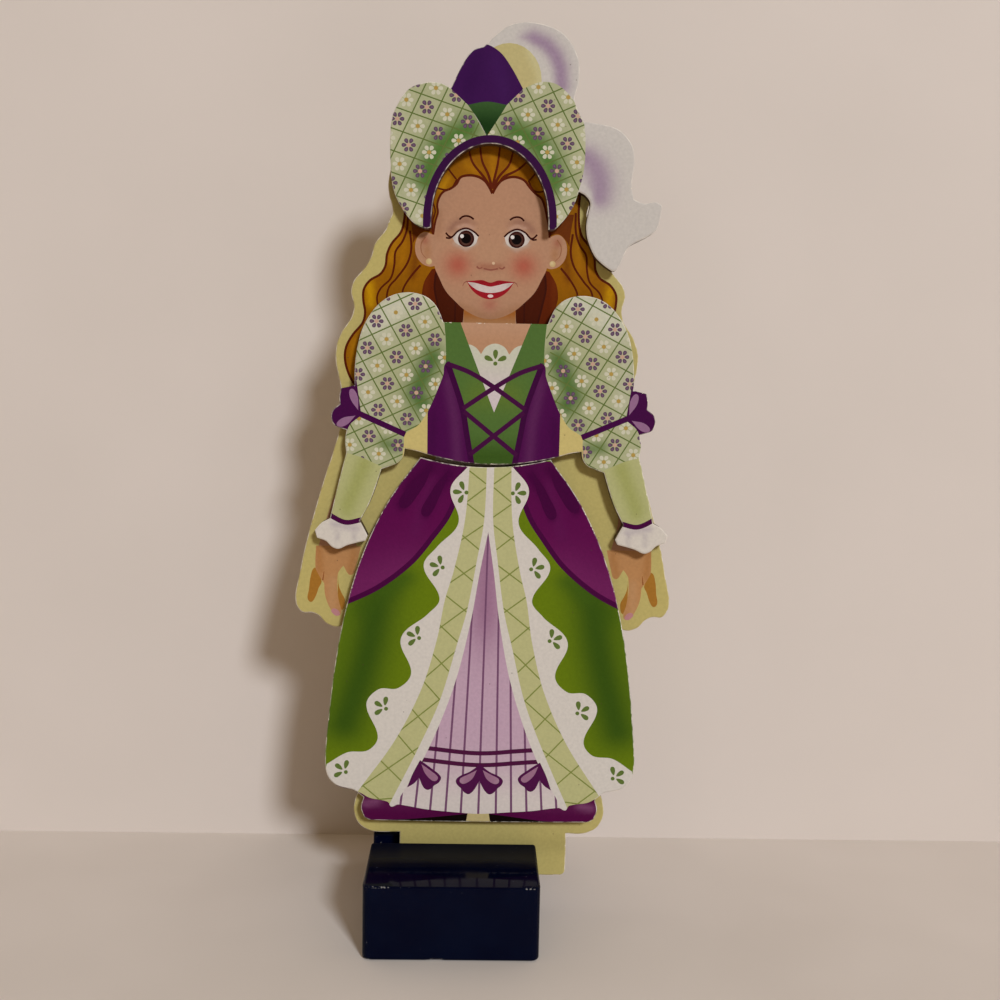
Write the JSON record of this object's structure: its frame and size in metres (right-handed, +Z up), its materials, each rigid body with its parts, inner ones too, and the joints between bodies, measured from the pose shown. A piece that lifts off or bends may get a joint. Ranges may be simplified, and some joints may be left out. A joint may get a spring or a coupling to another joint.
{
  "type": "magnetic dress-up doll",
  "caption": "Printed wooden figure that stands in a slotted block, with a plumed hat, a laced dress top and a long skirt that lie on it and hold by hidden magnets.",
  "frame": {"origin": "on the table, under the middle of the stand block", "axes": "+Z up, front of the doll faces -Y, +X to the right seen from the front"},
  "size_m": [0.1014, 0.063, 0.2388],
  "materials": {
    "stand_paint": "navy gloss enamel over wood",
    "doll_wood": "pale yellow painted board",
    "doll_ink": "varnished printed facing",
    "clothes_wood": "cream painted board",
    "hat_ink": "varnished printed facing",
    "top_ink": "varnished printed facing",
    "skirt_ink": "varnished printed facing",
    "keeper_steel": "zinc plated",
    "magnet_nickel": "nickel plated"
  },
  "bodies": {
    "stand": {"stand_block": "stand_paint"},
    "doll": {"doll_board": "doll_wood", "doll_print": "doll_ink", "doll_keeper_hat_left": "keeper_steel", "doll_keeper_hat_right": "keeper_steel", "doll_keeper_top_left": "keeper_steel", "doll_keeper_top_right": "keeper_steel", "doll_keeper_skirt_left": "keeper_steel", "doll_keeper_skirt_right": "keeper_steel"},
    "hat": {"hat_board": "clothes_wood", "hat_print": "hat_ink", "hat_magnet_left": "magnet_nickel", "hat_magnet_right": "magnet_nickel"},
    "top": {"top_board": "clothes_wood", "top_print": "top_ink", "top_magnet_left": "magnet_nickel", "top_magnet_right": "magnet_nickel"},
    "skirt": {"skirt_board": "clothes_wood", "skirt_print": "skirt_ink", "skirt_magnet_left": "magnet_nickel", "skirt_magnet_right": "magnet_nickel"}
  },
  "joints": [
    {"name": "doll_lift", "type": "slide", "parent": "stand", "child": "doll", "axis": [0, 0, 1], "range_m": [0, 0.05]},
    {"name": "hat_pull", "type": "slide", "parent": "doll", "child": "hat", "axis": [0, -1, 0], "range_m": [0, 0.04]},
    {"name": "top_pull", "type": "slide", "parent": "doll", "child": "top", "axis": [0, -1, 0], "range_m": [0, 0.04]},
    {"name": "skirt_pull", "type": "slide", "parent": "doll", "child": "skirt", "axis": [0, -1, 0], "range_m": [0, 0.04]}
  ]
}
